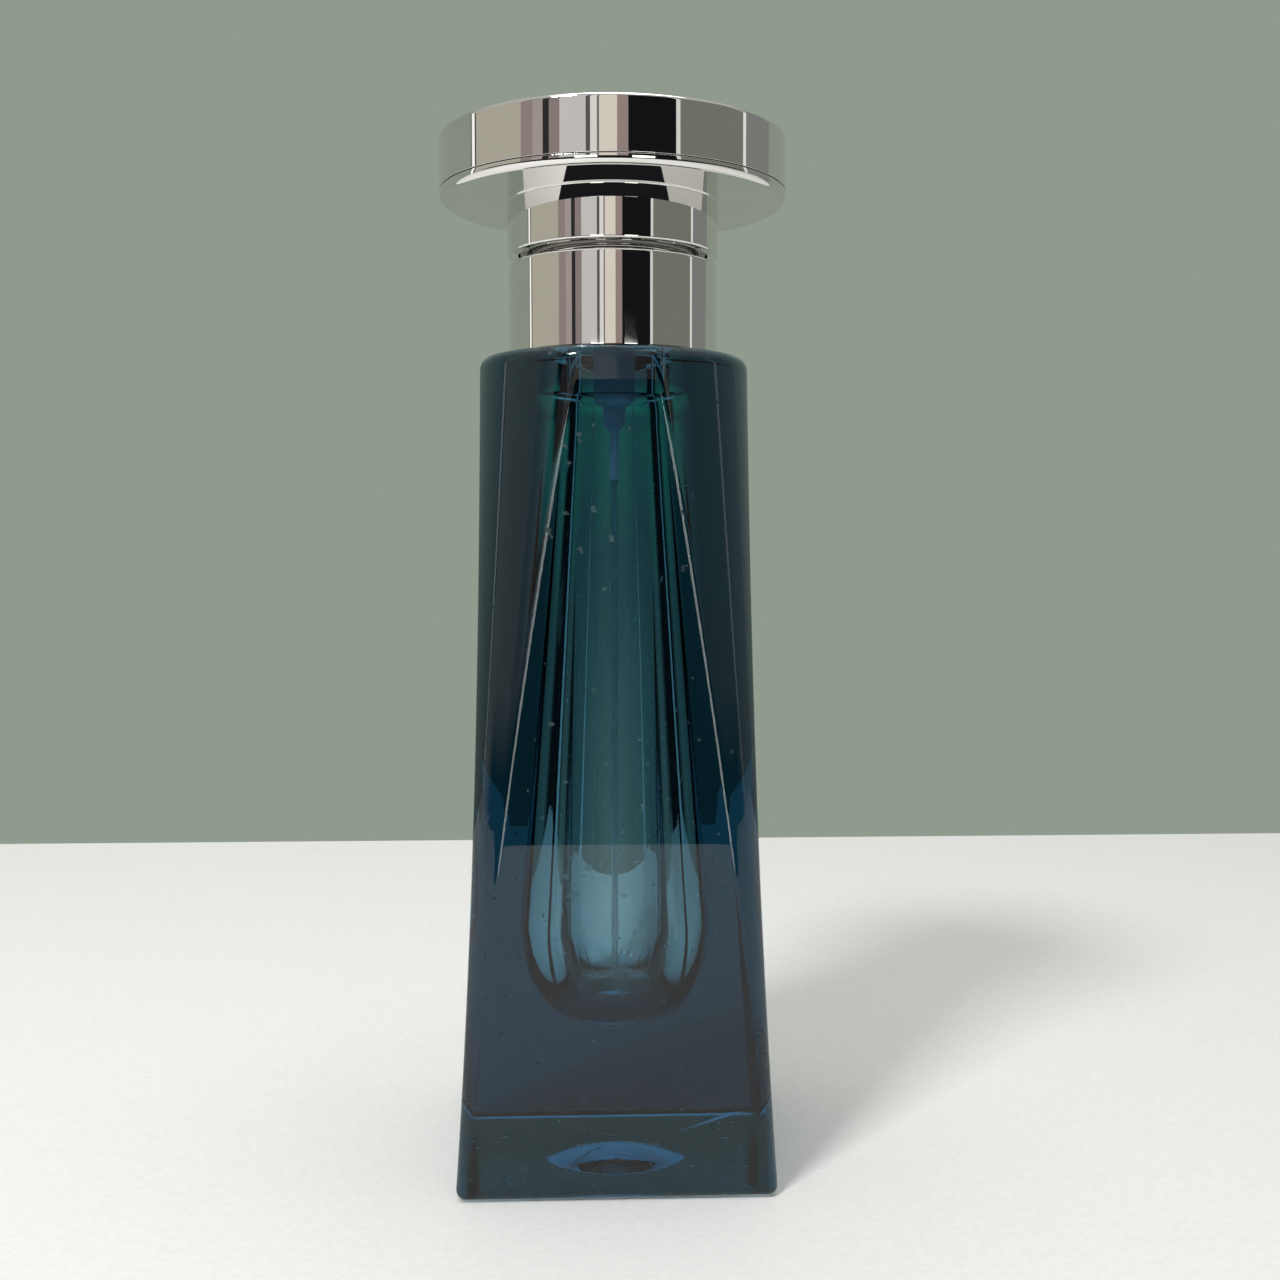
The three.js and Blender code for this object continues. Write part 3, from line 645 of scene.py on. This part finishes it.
# Upright light and dark panels of the studio, as (left edge in degrees from -Y towards +X, colour).
PANELS = (
    (-180, BACKDROP[:3]), (-106, (0.16, 0.16, 0.15)), (-104.5, (1.1, 1.1, 1.05)),
    (-102, (0.06, 0.06, 0.06)), (-100, (0.46, 0.44, 0.37)), (-62, (0.30, 0.25, 0.235)),
    (-54, (0.40, 0.35, 0.33)), (-47, (0.03, 0.03, 0.03)), (-43, (0.28, 0.23, 0.22)),
    (-36, (0.62, 0.61, 0.60)), (-19, (0.12, 0.10, 0.10)), (-16, (0.80, 0.78, 0.75)),
    (-12.5, (0.20, 0.17, 0.17)), (-10, (0.78, 0.73, 0.64)), (1, (0.34, 0.26, 0.24)),
    (7.6, (0.008, 0.008, 0.009)), (38, (0.75, 0.75, 0.73)), (42, (0.19, 0.20, 0.17)),
    (91, (0.85, 0.85, 0.82)), (93.5, (0.22, 0.225, 0.22)), (120, BACKDROP[:3]),
)
UNLIT_HALF_ANGLE, UNLIT_TOP = 10.5, 0.115       # dark zone ahead: degrees each side, and height
STRIP_FROM, STRIP_TO = 11, 25                   # strip lights: degrees from the middle
STRIP_MIDDLE, STRIP_HALF_HEIGHT = -0.02, 0.145  # and heights. Heights are the z of a direction.


def studio():
    """A plain backdrop with upright panels in front of the bottle, dark under the edge of the table.

    The camera sees only the backdrop. Metal and the outside of the glass mirror the panels and lights, and
    light that has passed through the glass meets the backdrop behind it and a dark surround.
    """
    world = bpy.data.worlds.new("studio")
    bpy.context.scene.world = world
    world.use_nodes = True
    nodes, links = world.node_tree.nodes, world.node_tree.links

    def add(kind, inputs=None, **settings):
        node = nodes.new(kind)
        for key, value in settings.items():
            setattr(node, key, value)
        for key, value in (inputs or {}).items():
            if isinstance(value, bpy.types.NodeSocket):
                links.new(value, node.inputs[key])
            else:
                node.inputs[key].default_value = value
        return node

    def math_node(operation, *values):
        return add("ShaderNodeMath", dict(enumerate(values)), operation=operation).outputs[0]

    def all_of(first, *others):
        for other in others:
            first = math_node("MULTIPLY", first, other)
        return first

    def rising(value, low, high):
        """0 below low and 1 above high. Falls instead if low is the larger."""
        inputs = {"Value": value, 1: low, 2: high, 3: 0.0, 4: 1.0}
        if low > high:
            inputs = {"Value": value, 1: high, 2: low, 3: 1.0, 4: 0.0}
        return add("ShaderNodeMapRange", inputs).outputs[0]

    def mix(factor, first, second):
        return add("ShaderNodeMix", {0: factor, 6: first, 7: second}, data_type="RGBA").outputs[2]

    direction = add("ShaderNodeTexCoord").outputs["Generated"]
    x, y, z = add("ShaderNodeSeparateXYZ", {0: direction}).outputs[:3]
    turn = math_node("ARCTAN2", x, math_node("MULTIPLY", y, -1.0))
    share = math_node("MULTIPLY_ADD", turn, 0.5 / math.pi, 0.5)
    ramp = add("ShaderNodeValToRGB", {0: share})
    ramp.color_ramp.interpolation = "CONSTANT"
    stops = ramp.color_ramp.elements
    stops.remove(stops[1])
    stops[0].color = (*PANELS[0][1], 1)
    for angle, colour in PANELS[1:]:
        stops.new((angle + 180) / 360).color = (*colour, 1)
    in_front = rising(y, 0.1, -0.1)
    low = rising(z, 0.03, -0.02)
    side = math_node("ABSOLUTE", turn)
    ahead = math_node("LESS_THAN", side, math.radians(UNLIT_HALF_ANGLE))
    under = math_node("LESS_THAN", z, UNLIT_TOP)
    past = math_node("GREATER_THAN", side, math.radians(STRIP_FROM))
    short_of = math_node("LESS_THAN", side, math.radians(STRIP_TO))
    off_middle = math_node("ABSOLUTE", math_node("SUBTRACT", z, STRIP_MIDDLE))
    level = math_node("LESS_THAN", off_middle, STRIP_HALF_HEIGHT)

    mirrored = mix(all_of(in_front, low), ramp.outputs[0], UNLIT)
    mirrored = mix(all_of(ahead, under, in_front), mirrored, UNLIT)
    mirrored = mix(all_of(past, short_of, level, in_front), mirrored, STRIP_LIGHT)
    mirrored = mix(rising(z, 0.55, 0.75), mirrored, CEILING)

    beyond = mix(rising(z, 0.06, 0.20), BACKDROP, THROUGH_GLASS_WALL)
    beyond = mix(rising(y, 0.35, 0.55), THROUGH_GLASS_DARK, beyond)
    beyond = mix(rising(z, 0.40, 0.58), beyond, THROUGH_GLASS_TOP)

    path = add("ShaderNodeLightPath").outputs
    unseen = mix(path["Is Transmission Ray"], mirrored, beyond)
    links.new(mix(path["Is Camera Ray"], unseen, BACKDROP), nodes["Background"].inputs["Color"])


studio()


def softbox(name, place, target, width, height, power):
    light = bpy.data.lights.new(name, "AREA")
    light.shape = "RECTANGLE"
    light.size, light.size_y = width, height
    light.energy = power
    made = bpy.data.objects.new(name, light)
    made.location = place
    made.rotation_euler = (Vector(target) - Vector(place)).to_track_quat("-Z", "Y").to_euler()
    made.visible_camera = False
    bpy.context.scene.collection.objects.link(made)


MIDDLE = (0, 0, 0.07)           # half the bottle's height, where both lights point
softbox("key", (-0.35, -0.42, 0.75), MIDDLE, 0.16, 0.16, 5.0)
softbox("fill", (0.05, 0.05, 1.1), MIDDLE, 0.7, 0.5, 4.0)
bpy.context.scene.view_settings.view_transform = "Standard"

# ---------------------------------------------------------------- camera
EYE_DISTANCE, EYE_HEIGHT = 0.2103, 0.0892   # from the bottle's axis, and above the table
BOTTLE_YAW = math.radians(1.26)             # the front facet's turn away from the viewer
PAN, PITCH = math.radians(1.05), math.radians(4.2)
IMAGE_SIDE, FOCAL = 1280, 1450              # focal length in widths of one image dot

camera_data = bpy.data.cameras.new("camera")
camera = bpy.data.objects.new("camera", camera_data)
bpy.context.scene.collection.objects.link(camera)
camera.location = (-EYE_DISTANCE * math.sin(BOTTLE_YAW), -EYE_DISTANCE * math.cos(BOTTLE_YAW), EYE_HEIGHT)
heading = BOTTLE_YAW + PAN
aim = Vector((math.sin(heading) * math.cos(PITCH), math.cos(heading) * math.cos(PITCH), -math.sin(PITCH)))
camera.rotation_mode = "QUATERNION"
camera.rotation_quaternion = aim.to_track_quat("-Z", "Y")
camera_data.sensor_width = 36.0
camera_data.lens = camera_data.sensor_width * FOCAL / IMAGE_SIDE
camera_data.clip_start = 0.005
bpy.context.scene.camera = camera
